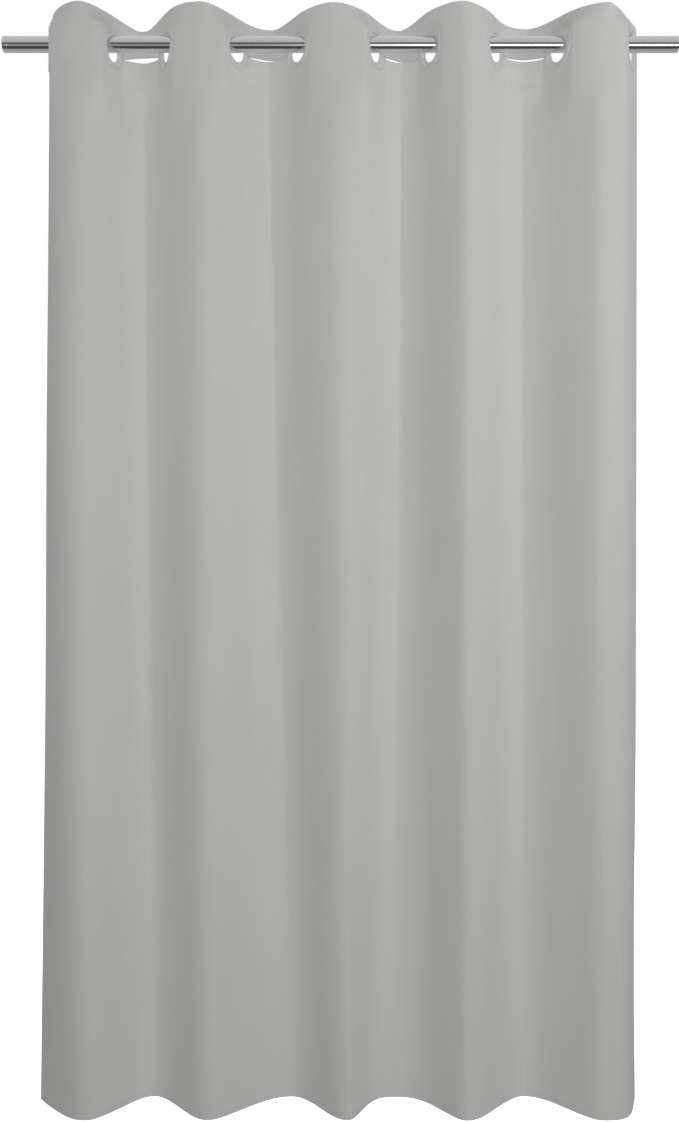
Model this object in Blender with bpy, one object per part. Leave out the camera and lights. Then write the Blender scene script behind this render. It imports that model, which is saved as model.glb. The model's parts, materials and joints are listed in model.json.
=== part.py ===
"""Eyelet curtain panel hung in folds on a round rod.

The panel is one sheet of woven cloth.  Its top is turned down over a stiff heading tape, and
two-part snap eyelets go through the three layers.  The rod runs through all the eyelets, so the
cloth stands in folds that lie in turn in front of the rod and behind it.  Each front fold is
plain.  Each back fold is cut by a slit between its two eyelets, whose rings are open on that
side, so that the panel can be put on a rod that is already up.

The cloth is modelled as flanks, one for each eyelet, that meet at the crests of the folds, and
each flank as its doubled heading and the single cloth below it.  Drawing the panel together
turns every flank about its own crest, and the eyelets slide along the rod.  Each crest
therefore carries an upright hinge line.

Frame: origin at the middle of the rod's axis, +X along the rod, +Z up, -Y to the room.
"""
import math

import bmesh
import bpy
from mathutils import Vector
from mathutils.geometry import interpolate_bezier

# Panel, laid flat
PANEL_WIDTH = 1.400
PANEL_DROP = 1.750
HEADING_HEIGHT = 0.100
BOTTOM_HEM = 0.012
SIDE_HEM = 0.015
CLOTH_THICKNESS = 0.0008
TAPE_THICKNESS = 0.0008

# Eyelets
EYELET_BORE = 0.043
EYELET_FLANGE_WIDTH = 0.0115
EYELET_WALL = 0.003
EYELET_LAND = 0.002
FRONT_FLANGE = 0.0026
BACK_FLANGE = 0.0020
FLANGE_EDGE_SHARE = 0.4
FLANGE_SLOPE_SHARE = 0.3
BARREL_FLARE_SHARE = 0.6
EYELET_BELOW_TOP = 0.0525
SIDE_MARGIN = 0.044
PITCH_DIFFERENCE = 0.014
SLIT_HEIGHT = 0.003

# Rod
ROD_DIAMETER = 0.025
ROD_WALL = 0.001
ROD_OVERHANG = 0.0757
CAP_LENGTH = 0.008
CAP_SPIGOT = 0.014

# How the panel hangs: the angle of each flank to the rod, and the share of the flat distance
# between two eyelets that is left between them once the fold stands
FLANK_ANGLES = (76, 74, 64, 58, 55, 63, 64, 57, 62, 65)
FOLD_SPREADS = (0.66, 0.62, 0.75, 0.70, 0.82, 0.64, 0.69, 0.72, 0.77)
CREST_FULLNESS = 0.87
BEND_REACH = 0.45
FIXED_FLANK = 5

# Clearances
LAYER_GAP = 0.0003
PIECE_GAP = 0.0003
HANG_GAP = 0.0010
RING_GAP = 0.0004
CLOTH_HOLE_GAP = 0.0005
CREST_GAP = 0.0040
RING_SEAT = 0.0020

# Mesh fineness
CREST_STEPS = 5
RING_SIDES = 20
ROD_SIDES = 32
SHARP_ANGLE = 35

EYELET_COUNT = len(FLANK_ANGLES)
BORE_RADIUS = EYELET_BORE / 2
BARREL_RADIUS = BORE_RADIUS + EYELET_WALL
FLANGE_RADIUS = BORE_RADIUS + EYELET_FLANGE_WIDTH
FLAT_HALF = FLANGE_RADIUS + RING_SEAT
ROD_RADIUS = ROD_DIAMETER / 2

EYELET_Z = ROD_RADIUS + HANG_GAP - BORE_RADIUS
TOP_Z = EYELET_Z + EYELET_BELOW_TOP
BOTTOM_Z = TOP_Z - PANEL_DROP
HEADING_Z = TOP_Z - HEADING_HEIGHT
HEM_Z = BOTTOM_Z + BOTTOM_HEM

HALF_TAPE = TAPE_THICKNESS / 2
INNER_FACE = HALF_TAPE + LAYER_GAP
OUTER_FACE = INNER_FACE + CLOTH_THICKNESS
SEAT = OUTER_FACE + LAYER_GAP


def fold_pitches():
    """Flat distance between neighbouring eyelets, a little longer in the front folds."""
    folds = EYELET_COUNT - 1
    mean = (PANEL_WIDTH - 2 * SIDE_MARGIN) / folds
    front = mean + PITCH_DIFFERENCE * (folds // 2) / folds
    return [front - PITCH_DIFFERENCE * (fold % 2) for fold in range(folds)]


def fold_shapes():
    """Width between eyelets and depth from the rod's axis of each fold."""
    shapes = []
    for pitch, spread in zip(fold_pitches(), FOLD_SPREADS):
        width = pitch * spread
        depth = CREST_FULLNESS * math.sqrt((pitch / 2) ** 2 - (width / 2) ** 2)
        shapes.append((width, depth))
    return shapes


FOLDS = fold_shapes()
SPAN = sum(width for width, depth in FOLDS)


def eyelet_x(index):
    """Place of an eyelet's centre along the rod."""
    return sum(width for width, depth in FOLDS[:index]) - SPAN / 2


def eyelet_centre(index):
    """Centre of an eyelet's bore, which hangs on the top of the rod."""
    return Vector((eyelet_x(index), 0, EYELET_Z))


def crest_point(fold):
    """Where the upright hinge line of a fold's crest stands, at the height of the rod."""
    width, depth = FOLDS[fold]
    side = -1 if fold % 2 == 0 else 1
    return Vector((eyelet_x(fold) + width / 2, side * depth, 0))


def flank_turn(index):
    """Angle of a flank about +Z, measured from the rod; neighbours lean opposite ways."""
    angle = math.radians(FLANK_ANGLES[index])
    return -angle if index % 2 == 0 else angle


def flank_direction(index):
    """Unit vector along a flank, towards +X."""
    turn = flank_turn(index)
    return Vector((math.cos(turn), math.sin(turn)))


def crest_bend(index, fold):
    """Points from the flat of a flank to one of its crests, seen from its eyelet."""
    width, depth = FOLDS[fold]
    side = 1 if fold == index else -1
    direction = side * flank_direction(index)
    crest = (crest_point(fold) - eyelet_centre(index)).to_2d()
    crest.x -= side * CREST_GAP / 2
    flat_end = direction * FLAT_HALF
    corner = direction * depth / math.sin(math.radians(FLANK_ANGLES[index]))
    first = flat_end.lerp(corner, BEND_REACH)
    second = crest.lerp(corner, BEND_REACH)
    return interpolate_bezier(flat_end, first, second, crest, CREST_STEPS + 1)


def flank_path(index):
    """Middle line of a flank in plan, from left to right, seen from its eyelet."""
    direction = flank_direction(index)
    if index == 0:
        left = [-direction * SIDE_MARGIN, -direction * FLAT_HALF]
    else:
        left = crest_bend(index, index - 1)[::-1]
    if index == EYELET_COUNT - 1:
        right = [direction * FLAT_HALF, direction * SIDE_MARGIN]
    else:
        right = crest_bend(index, index)
    return [Vector(point) for point in left + right]


def path_normals(path):
    """Room-side normal at each point of a path, square to the mean of its two steps."""
    steps = [(far - near).normalized() for near, far in zip(path, path[1:])]
    normals = []
    for before, after in zip(steps[:1] + steps, steps + steps[-1:]):
        tangent = (before + after).normalized()
        normals.append(Vector((tangent.y, -tangent.x)))
    return normals


def material(name, colour, roughness, metallic=0.0):
    """A plain finish for one kind of piece."""
    finish = bpy.data.materials.new(name)
    finish.use_nodes = True
    shader = finish.node_tree.nodes["Principled BSDF"]
    shader.inputs["Base Color"].default_value = (*colour, 1)
    shader.inputs["Roughness"].default_value = roughness
    shader.inputs["Metallic"].default_value = metallic
    return finish


def new_object(name, mesh, finish):
    """Link a mesh into the scene under its own name."""
    mesh.materials.append(finish)
    piece = bpy.data.objects.new(name, mesh)
    bpy.context.collection.objects.link(piece)
    return piece


def mesh_from(build, name):
    """Finish a bmesh as a mesh whose faces point out."""
    bmesh.ops.recalc_face_normals(build, faces=build.faces)
    mesh = bpy.data.meshes.new(name)
    build.to_mesh(mesh)
    build.free()
    return mesh


def swept(name, path, profile, finish):
    """Sweep a closed upright profile of (offset to the room side, height) along a path."""
    build = bmesh.new()
    sections = []
    for point, normal in zip(path, path_normals(path)):
        section = []
        for offset, height in profile:
            place = point + normal * offset
            section.append(build.verts.new((place.x, place.y, height)))
        sections.append(section)
    corners = len(profile)
    for near, far in zip(sections, sections[1:]):
        for i in range(corners):
            j = (i + 1) % corners
            build.faces.new((near[i], near[j], far[j], far[i]))
    build.faces.new(sections[0][::-1])
    build.faces.new(sections[-1])
    return new_object(name, mesh_from(build, name), finish)


def turned(name, profile, sides, finish):
    """Turn a closed profile of (radius, height along the axis) about the local Z axis."""
    build = bmesh.new()
    rings = []
    for side in range(sides):
        angle = 2 * math.pi * side / sides
        across = math.cos(angle)
        along = math.sin(angle)
        ring = []
        for radius, height in profile:
            ring.append(build.verts.new((radius * across, radius * along, height)))
        rings.append(ring)
    corners = len(profile)
    for side in range(sides):
        here = rings[side]
        there = rings[(side + 1) % sides]
        for i in range(corners):
            j = (i + 1) % corners
            build.faces.new((here[i], here[j], there[j], there[i]))
    mesh = mesh_from(build, name)
    mesh.shade_smooth()
    mesh.set_sharp_from_angle(angle=math.radians(SHARP_ANGLE))
    return new_object(name, mesh, finish)


def block(low, high):
    """A plain box between two corners, for cutting."""
    build = bmesh.new()
    bmesh.ops.create_cube(build, size=1)
    size = Vector(high) - Vector(low)
    middle = (Vector(high) + Vector(low)) / 2
    bmesh.ops.scale(build, vec=size, verts=build.verts)
    bmesh.ops.translate(build, vec=middle, verts=build.verts)
    mesh = mesh_from(build, "slit")
    cutter = bpy.data.objects.new("slit", mesh)
    bpy.context.collection.objects.link(cutter)
    return cutter


def bore(radius, turn):
    """A level cylinder square to a flank, for cutting the cloth at an eyelet."""
    build = bmesh.new()
    bmesh.ops.create_cone(
        build, cap_ends=True, segments=RING_SIDES, radius1=radius, radius2=radius, depth=2 * radius
    )
    mesh = mesh_from(build, "bore")
    cutter = bpy.data.objects.new("bore", mesh)
    bpy.context.collection.objects.link(cutter)
    cutter.rotation_euler = (math.pi / 2, 0, turn)
    return cutter


def cut(piece, cutter):
    """Take a cutter's shape out of a piece and throw the cutter away."""
    modifier = piece.modifiers.new("cut", 'BOOLEAN')
    modifier.operation = 'DIFFERENCE'
    modifier.solver = 'EXACT'
    modifier.object = cutter
    graph = bpy.context.evaluated_depsgraph_get()
    mesh = bpy.data.meshes.new_from_object(piece.evaluated_get(graph))
    piece.modifiers.remove(modifier)
    piece.data = mesh
    bpy.data.objects.remove(cutter)


def slit_side(index):
    """Which side of an eyelet its slit runs to: +1 right, -1 left, 0 for the two end eyelets."""
    if index in (0, EYELET_COUNT - 1):
        return 0
    return 1 if index % 2 == 1 else -1


def cut_cloth(piece, index):
    """Cut the eyelet's hole, and the slit from it to the back crest, through a layer."""
    cut(piece, bore(BARREL_RADIUS + CLOTH_HOLE_GAP, flank_turn(index)))
    side = slit_side(index)
    if side:
        reach = side * max(width for width, depth in FOLDS)
        across = 2 * max(depth for width, depth in FOLDS)
        low = (min(0, reach), -across, -SLIT_HEIGHT / 2)
        high = (max(0, reach), across, SLIT_HEIGHT / 2)
        cut(piece, block(low, high))


def heading_profile():
    """Cloth of the heading, up its room side, over the top and down behind the tape."""
    low = HEADING_Z - EYELET_Z
    top = TOP_Z - EYELET_Z
    under_top = top - CLOTH_THICKNESS
    return [
        (OUTER_FACE, low),
        (OUTER_FACE, top),
        (-OUTER_FACE, top),
        (-OUTER_FACE, low),
        (-INNER_FACE, low),
        (-INNER_FACE, under_top),
        (INNER_FACE, under_top),
        (INNER_FACE, low),
    ]


def drop_profile():
    """Single cloth below the heading, doubled at the bottom by its hem."""
    top = HEADING_Z - PIECE_GAP - EYELET_Z
    hem = HEM_Z - EYELET_Z
    bottom = BOTTOM_Z - EYELET_Z
    hem_back = INNER_FACE - CLOTH_THICKNESS
    return [
        (OUTER_FACE, bottom),
        (OUTER_FACE, top),
        (INNER_FACE, top),
        (INNER_FACE, hem),
        (hem_back, hem),
        (hem_back, bottom),
    ]


def tape_profile():
    """Stiff tape that fills the pocket of the heading."""
    low = HEADING_Z - EYELET_Z
    high = TOP_Z - CLOTH_THICKNESS - LAYER_GAP - EYELET_Z
    return [(HALF_TAPE, low), (HALF_TAPE, high), (-HALF_TAPE, high), (-HALF_TAPE, low)]


def side_hem(name, index, side, finish):
    """Turned-in side edge behind the cloth, from the bottom hem up to the heading."""
    direction = side * flank_direction(index)
    path = [direction * (SIDE_MARGIN - SIDE_HEM), direction * SIDE_MARGIN]
    if side < 0:
        path.reverse()
    front = INNER_FACE - LAYER_GAP
    back = front - CLOTH_THICKNESS
    low = HEM_Z + PIECE_GAP - EYELET_Z
    high = HEADING_Z - PIECE_GAP - EYELET_Z
    profile = [(front, low), (front, high), (back, high), (back, low)]
    return swept(name, path, profile, finish)


def front_ring_profile():
    """Half section of the front half of an eyelet: domed flange and the barrel behind it."""
    crown = SEAT + FRONT_FLANGE
    end = -(SEAT + BACK_FLANGE)
    return [
        (FLANGE_RADIUS, SEAT),
        (FLANGE_RADIUS, SEAT + FRONT_FLANGE * FLANGE_EDGE_SHARE),
        (FLANGE_RADIUS - EYELET_FLANGE_WIDTH * FLANGE_SLOPE_SHARE, crown),
        (BARREL_RADIUS, crown),
        (BORE_RADIUS, EYELET_LAND / 2),
        (BORE_RADIUS, -EYELET_LAND / 2),
        (BORE_RADIUS + EYELET_WALL * BARREL_FLARE_SHARE, end),
        (BARREL_RADIUS, end),
        (BARREL_RADIUS, SEAT),
    ]


def back_ring_profile():
    """Half section of the washer that snaps onto the barrel from behind."""
    inner = BARREL_RADIUS + RING_GAP
    crown = -SEAT - BACK_FLANGE
    return [
        (inner, -SEAT),
        (FLANGE_RADIUS, -SEAT),
        (FLANGE_RADIUS, -SEAT - BACK_FLANGE * FLANGE_EDGE_SHARE),
        (FLANGE_RADIUS - EYELET_FLANGE_WIDTH * FLANGE_SLOPE_SHARE, crown),
        (inner, crown),
    ]


def eyelet_ring(name, profile, index, finish):
    """One half of an eyelet, with its opening where the cloth has a slit."""
    ring = turned(name, profile, RING_SIDES, finish)
    side = slit_side(index)
    if side:
        reach = side * 2 * FLANGE_RADIUS
        low = (min(0, reach), -SLIT_HEIGHT / 2, -2 * FLANGE_RADIUS)
        high = (max(0, reach), SLIT_HEIGHT / 2, 2 * FLANGE_RADIUS)
        cut(ring, block(low, high))
    ring.rotation_euler = (math.pi / 2, 0, flank_turn(index))
    return ring


def pivot(name, place, parent):
    """An empty that stands on a joint's axis."""
    empty = bpy.data.objects.new(name, None)
    empty.empty_display_size = 0.03
    bpy.context.collection.objects.link(empty)
    empty.location = place - (parent["place"] if parent else Vector((0, 0, 0)))
    if parent:
        empty.parent = parent["empty"]
    return {"empty": empty, "place": place}


def flank_pivots():
    """Pivots of all flanks: the fixed one turns at its eyelet, the others at their crests."""
    start = Vector((eyelet_x(FIXED_FLANK), 0, 0))
    pivots = {FIXED_FLANK: pivot(f"pivot_{FIXED_FLANK + 1:02d}", start, None)}
    for index in range(FIXED_FLANK + 1, EYELET_COUNT):
        pivots[index] = pivot(f"pivot_{index + 1:02d}", crest_point(index - 1), pivots[index - 1])
    for index in range(FIXED_FLANK - 1, -1, -1):
        pivots[index] = pivot(f"pivot_{index + 1:02d}", crest_point(index), pivots[index + 1])
    return pivots


def hang(piece, index, pivots):
    """Put a piece that is modelled about its eyelet on its flank's pivot."""
    piece.parent = pivots[index]["empty"]
    piece.location = eyelet_centre(index) - pivots[index]["place"]


def make_flank(index, pivots, finishes):
    """Cloth, tape and eyelet of one flank."""
    number = f"{index + 1:02d}"
    path = flank_path(index)
    drop = swept(f"cloth_flank_{number}", path, drop_profile(), finishes["cloth"])
    heading = swept(f"cloth_heading_{number}", path, heading_profile(), finishes["cloth"])
    cut_cloth(heading, index)
    tape = swept(f"heading_tape_{number}", path, tape_profile(), finishes["tape"])
    cut_cloth(tape, index)
    front = eyelet_ring(f"eyelet_front_{number}", front_ring_profile(), index, finishes["eyelet"])
    back = eyelet_ring(f"eyelet_back_{number}", back_ring_profile(), index, finishes["eyelet"])
    for piece in (drop, heading, tape, front, back):
        hang(piece, index, pivots)


def rod_cap(name, side, tube_half, finish):
    """Push-in end cap: a spigot inside the tube and a plain flush end outside it."""
    spigot = ROD_RADIUS - ROD_WALL - PIECE_GAP
    shoulder = tube_half + PIECE_GAP
    outline = [
        (spigot, tube_half - CAP_SPIGOT),
        (spigot, shoulder),
        (ROD_RADIUS, shoulder),
        (ROD_RADIUS, shoulder + CAP_LENGTH),
    ]
    build = bmesh.new()
    rings = []
    for radius, reach in outline:
        ring = []
        for turn in range(ROD_SIDES):
            angle = 2 * math.pi * turn / ROD_SIDES
            corner = (side * reach, radius * math.cos(angle), radius * math.sin(angle))
            ring.append(build.verts.new(corner))
        rings.append(ring)
    for near, far in zip(rings, rings[1:]):
        for i in range(ROD_SIDES):
            j = (i + 1) % ROD_SIDES
            build.faces.new((near[i], near[j], far[j], far[i]))
    build.faces.new(rings[0])
    build.faces.new(rings[-1])
    return new_object(name, mesh_from(build, name), finish)


def make_rod(finish):
    """Chromed tube with a push-in cap at each end."""
    tube_half = SPAN / 2 + ROD_OVERHANG - CAP_LENGTH - PIECE_GAP
    inner = ROD_RADIUS - ROD_WALL
    profile = [
        (ROD_RADIUS, -tube_half),
        (ROD_RADIUS, tube_half),
        (inner, tube_half),
        (inner, -tube_half),
    ]
    tube = turned("rod_tube", profile, ROD_SIDES, finish)
    tube.rotation_euler = (0, math.pi / 2, 0)
    rod_cap("rod_cap_left", -1, tube_half, finish)
    rod_cap("rod_cap_right", 1, tube_half, finish)


def clear_scene():
    """Start from an empty scene."""
    for old in list(bpy.data.objects):
        bpy.data.objects.remove(old)


def main():
    """Build the rod and then the panel, flank by flank."""
    clear_scene()
    finishes = {
        "cloth": material("grey_cloth", (0.42, 0.42, 0.41), 0.85),
        "tape": material("heading_tape", (0.62, 0.62, 0.60), 0.8),
        "eyelet": material("grey_plastic", (0.40, 0.40, 0.39), 0.5),
        "chrome": material("chrome", (0.78, 0.78, 0.80), 0.12, 1.0),
    }
    make_rod(finishes["chrome"])
    pivots = flank_pivots()
    for index in range(EYELET_COUNT):
        make_flank(index, pivots, finishes)
    last = EYELET_COUNT - 1
    hang(side_hem("side_hem_left", 0, -1, finishes["cloth"]), 0, pivots)
    hang(side_hem("side_hem_right", last, 1, finishes["cloth"]), last, pivots)


main()
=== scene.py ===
import json
import math

import bmesh
import bpy
import numpy as np
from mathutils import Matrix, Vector


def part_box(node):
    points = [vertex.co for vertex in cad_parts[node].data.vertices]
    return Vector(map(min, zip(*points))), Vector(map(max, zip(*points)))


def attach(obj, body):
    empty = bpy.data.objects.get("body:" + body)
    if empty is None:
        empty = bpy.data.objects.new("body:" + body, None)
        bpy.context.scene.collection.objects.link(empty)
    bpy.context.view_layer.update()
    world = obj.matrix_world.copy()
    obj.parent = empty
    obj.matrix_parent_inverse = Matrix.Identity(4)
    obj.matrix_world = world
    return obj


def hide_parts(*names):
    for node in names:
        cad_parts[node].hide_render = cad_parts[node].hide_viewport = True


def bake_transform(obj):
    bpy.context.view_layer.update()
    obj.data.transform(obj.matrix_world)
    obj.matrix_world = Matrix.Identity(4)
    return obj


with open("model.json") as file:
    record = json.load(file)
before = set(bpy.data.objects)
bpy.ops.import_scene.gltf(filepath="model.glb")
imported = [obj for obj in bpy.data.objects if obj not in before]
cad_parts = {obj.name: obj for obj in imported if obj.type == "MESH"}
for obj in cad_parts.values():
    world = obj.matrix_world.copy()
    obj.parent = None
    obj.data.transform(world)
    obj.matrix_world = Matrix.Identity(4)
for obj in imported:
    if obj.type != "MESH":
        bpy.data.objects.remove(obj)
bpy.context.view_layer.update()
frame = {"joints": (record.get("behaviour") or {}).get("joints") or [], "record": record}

# An eyelet curtain panel on a chromed rod: continuous cloth in nine folds, ten split
# eyelets, stitched heading and hems.  The room is on the -Y side and the rod lies along X.

hinges = {joint["name"]: joint["pos_m"] for joint in frame["joints"]}
eyeletX = []
for opening in frame["record"]["physics"]["openings"]:
    low, high = opening["box_m"]
    eyeletX.append((low[0] + high[0]) / 2)
eyeletCount = len(eyeletX)
foldCount = eyeletCount - 1
crestX = [hinges[f"crest_{k + 1:02d}"][0] for k in range(foldCount)]
crestY = [hinges[f"crest_{k + 1:02d}"][1] for k in range(foldCount)]
headingLow, headingTop = (corner.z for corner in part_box("cloth_heading_01"))
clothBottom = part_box("cloth_flank_01")[0].z
eyeletZ = (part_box("eyelet_front_01")[0].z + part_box("eyelet_front_01")[1].z) / 2


def linkMesh(name, mesh, finish):
    mesh.materials.clear()
    mesh.materials.append(finish)
    thing = bpy.data.objects.new(name, mesh)
    bpy.context.scene.collection.objects.link(thing)
    return thing


def meshFromLists(name, points, faces):
    mesh = bpy.data.meshes.new(name)
    mesh.from_pydata([tuple(p) for p in points], [], faces)
    mesh.update()
    return mesh


def smoothStep(value):
    value = np.clip(value, 0, 1)
    return value * value * (3 - 2 * value)


def newMaterial(name):
    finish = bpy.data.materials.new(name)
    finish.use_nodes = True
    return finish, finish.node_tree.nodes, finish.node_tree.links


def mathMaker(nodes, links):
    # gives a function that adds a math node to this tree, from sockets or plain numbers
    def calc(kind, first, second):
        node = nodes.new("ShaderNodeMath")
        node.operation = kind
        for socket, value in zip(node.inputs, (first, second)):
            if isinstance(value, (int, float)):
                socket.default_value = value
            else:
                links.new(value, socket)
        return node.outputs["Value"]

    return calc


def addNoise(nodes, links, place, scale, detail=2, rough=0.5, stretch=None):
    if stretch:
        mapping = nodes.new("ShaderNodeMapping")
        mapping.inputs["Scale"].default_value = stretch
        links.new(place, mapping.inputs["Vector"])
        place = mapping.outputs["Vector"]
    noise = nodes.new("ShaderNodeTexNoise")
    noise.inputs["Scale"].default_value = scale
    noise.inputs["Detail"].default_value = detail
    noise.inputs["Roughness"].default_value = rough
    links.new(place, noise.inputs["Vector"])
    return noise.outputs["Fac"]


def objectPlace(nodes):
    return nodes.new("ShaderNodeTexCoord").outputs["Object"]


def addRange(nodes, links, value, low, high):
    node = nodes.new("ShaderNodeMapRange")
    node.inputs["To Min"].default_value = low
    node.inputs["To Max"].default_value = high
    links.new(value, node.inputs["Value"])
    return node.outputs["Result"]


def addColour(nodes, links, colour, tone, spread=0):
    if spread:
        tone = addRange(nodes, links, tone, 1 - spread, 1 + spread)
    node = nodes.new("ShaderNodeVectorMath")
    node.operation = "SCALE"
    node.inputs[0].default_value = colour
    links.new(tone, node.inputs["Scale"])
    links.new(node.outputs["Vector"], nodes["Principled BSDF"].inputs["Base Color"])


def addBump(nodes, links, height, distance, strength):
    bump = nodes.new("ShaderNodeBump")
    bump.inputs["Strength"].default_value = strength
    bump.inputs["Distance"].default_value = distance
    links.new(height, bump.inputs["Height"])
    links.new(bump.outputs["Normal"], nodes["Principled BSDF"].inputs["Normal"])


mergeDistance = 1e-7


def smoothMesh(mesh, sharpAngle, dropSlivers=False):
    build = bmesh.new()
    build.from_mesh(mesh)
    bmesh.ops.remove_doubles(build, verts=build.verts, dist=mergeDistance)
    if dropSlivers:
        bmesh.ops.dissolve_degenerate(build, edges=build.edges, dist=mergeDistance)
    bmesh.ops.recalc_face_normals(build, faces=build.faces)
    build.to_mesh(mesh)
    build.free()
    mesh.shade_smooth()
    mesh.set_sharp_from_angle(angle=math.radians(sharpAngle))


def newTree(name, inputs):
    # a geometry tree with these inputs, and each input's identifier
    tree = bpy.data.node_groups.new(name, "GeometryNodeTree")
    face = tree.interface
    face.new_socket("Geometry", in_out="INPUT", socket_type="NodeSocketGeometry")
    sockets = {}
    for label, kind in inputs:
        socketType = "NodeSocket" + kind
        sockets[label] = face.new_socket(label, in_out="INPUT", socket_type=socketType)
    face.new_socket("Geometry", in_out="OUTPUT", socket_type="NodeSocketGeometry")
    return tree, {label: socket.identifier for label, socket in sockets.items()}


def addNode(tree, kind, inputs, output=0, **settings):
    # a node with its settings; each input is a socket or a plain value
    node = tree.nodes.new(kind)
    for name, value in settings.items():
        setattr(node, name, value)
    for name, value in inputs.items():
        if isinstance(value, bpy.types.NodeSocket):
            tree.links.new(value, node.inputs[name])
        else:
            node.inputs[name].default_value = value
    return node.outputs[output] if len(node.outputs) else node


def paintResult(tree, geometry, finish):
    inputs = {"Geometry": geometry, "Material": finish}
    painted = addNode(tree, "GeometryNodeSetMaterial", inputs)
    addNode(tree, "NodeGroupOutput", {"Geometry": painted})


weave = {
    "colour": (0.405, 0.405, 0.398),
    "threadPitch": 0.00055,      # metres between threads
    "threadHeight": 0.00006,
    "streakTone": 0.035,         # light and dark threads
    "cloudTone": 0.03,           # slow change of tone over the panel
    "warpSlubs": (420, 5, 1),    # how often they come across and along the cloth
    "weftSlubs": (9, 700, 1),
    "clouds": (7, 4, 1),
    "slubHeight": 1.5,           # against the threads
    "roughness": 0.86,
    "slubRoughness": 0.12,
    "bumpStrength": 0.6,
    "sheen": 0.18,
    "sheenRoughness": 0.55,
    "shine": 0.25,
}


def makeClothFinish():
    finish, nodes, links = newMaterial("greyWeave")
    shader = nodes["Principled BSDF"]
    shader.inputs["Sheen Weight"].default_value = weave["sheen"]
    shader.inputs["Sheen Roughness"].default_value = weave["sheenRoughness"]
    shader.inputs["Specular IOR Level"].default_value = weave["shine"]
    uv = nodes.new("ShaderNodeUVMap")
    uv.uv_map = "clothUV"

    calc = mathMaker(nodes, links)
    place = uv.outputs["UV"]
    warpStreaks = addNoise(nodes, links, place, 1, rough=0.6, stretch=weave["warpSlubs"])
    weftStreaks = addNoise(nodes, links, place, 1, rough=0.6, stretch=weave["weftSlubs"])
    clouds = addNoise(nodes, links, place, 1, stretch=weave["clouds"])
    streaks = calc("ADD", calc("SUBTRACT", warpStreaks, 0.5), calc("SUBTRACT", weftStreaks, 0.5))
    tone = calc("ADD", 1.0, calc("MULTIPLY", streaks, weave["streakTone"] * 2))
    cloudy = calc("MULTIPLY", calc("SUBTRACT", clouds, 0.5), weave["cloudTone"] * 2)
    tone = calc("ADD", tone, cloudy)
    addColour(nodes, links, weave["colour"], tone)
    rough = calc("ADD", weave["roughness"], calc("MULTIPLY", streaks, weave["slubRoughness"]))
    links.new(rough, shader.inputs["Roughness"])

    # plain weave: warp and weft threads pass over each other in a checker
    parts = nodes.new("ShaderNodeSeparateXYZ")
    links.new(uv.outputs["UV"], parts.inputs["Vector"])
    turn = math.pi / weave["threadPitch"]
    across = calc("SINE", calc("MULTIPLY", parts.outputs["X"], turn), 0.0)
    along = calc("SINE", calc("MULTIPLY", parts.outputs["Y"], turn), 0.0)
    checker = calc("MULTIPLY", across, along)
    height = calc("ADD", checker, calc("MULTIPLY", streaks, weave["slubHeight"]))
    addBump(nodes, links, height, weave["threadHeight"], weave["bumpStrength"])
    return finish


plastic = {
    "colour": (0.40, 0.40, 0.394),
    "toneSpread": 0.06,
    "roughness": (0.41, 0.53),
    "grainScale": 900,
    "grainHeight": 0.00004,
}


def makePlasticFinish():
    finish, nodes, links = newMaterial("greyEyeletPlastic")
    shader = nodes["Principled BSDF"]
    noise = addNoise(nodes, links, objectPlace(nodes), plastic["grainScale"], detail=3)
    addColour(nodes, links, plastic["colour"], noise, plastic["toneSpread"])
    rough = addRange(nodes, links, noise, *plastic["roughness"])
    links.new(rough, shader.inputs["Roughness"])
    addBump(nodes, links, noise, plastic["grainHeight"], 0.5)
    return finish


chrome = {
    "colour": (0.80, 0.80, 0.81),
    "toneSpread": 0.03,
    "roughness": (0.10, 0.15),
    "drawLines": (6, 900, 900),      # fine lines drawn along the tube
}


def makeChromeFinish():
    finish, nodes, links = newMaterial("chromedTube")
    shader = nodes["Principled BSDF"]
    shader.inputs["Metallic"].default_value = 1
    noise = addNoise(nodes, links, objectPlace(nodes), 1, stretch=chrome["drawLines"])
    rough = addRange(nodes, links, noise, *chrome["roughness"])
    links.new(rough, shader.inputs["Roughness"])
    addColour(nodes, links, chrome["colour"], noise, chrome["toneSpread"])
    return finish


thread = {"colour": (0.36, 0.36, 0.355), "toneSpread": 0.1, "grainScale": 2500, "roughness": 0.7}


def makeThreadFinish():
    finish, nodes, links = newMaterial("greyThread")
    noise = addNoise(nodes, links, objectPlace(nodes), thread["grainScale"])
    addColour(nodes, links, thread["colour"], noise, thread["toneSpread"])
    nodes["Principled BSDF"].inputs["Roughness"].default_value = thread["roughness"]
    return finish


clothFinish = makeClothFinish()
plasticFinish = makePlasticFinish()
chromeFinish = makeChromeFinish()
threadFinish = makeThreadFinish()
print("finishes made")


studio = {
    "cameraPlace": (-0.0016, -1.945, -0.933),
    "lens": 38.89,
    "shiftUp": 0.0579,
    "floorHeight": -1.90,
    "floorSize": 14.0,
    "floorTone": 0.86,
    "floorRoughness": 0.9,
    "floorGlow": 1.0,            # keeps the floor as pale as the backdrop
    "fill": 0.17,                # light from all round
    "fillBelow": 0.34,
    "aim": (0.0, 0.0, -0.8),
    # soft lights: place, size and power.  They cast no shadow from fold to fold, and the
    # bounce comes from below through the floor
    "key": ((2.50, -1.10, 0.45), 1.2, 37.0),
    "keyFill": ((1.40, -2.30, -0.20), 1.2, 22.0),
    "side": ((-3.96, -1.06, 1.90), 2.0, 104.0),
    "front": ((0.0, -2.6, -0.50), 1.2, 28.0),
    "bounce": ((0.0, -0.8, -6.0), 2.0, 110.0),
    "back": ((0.4, 3.4, -0.3), 2.0, 60.0),
}


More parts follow.
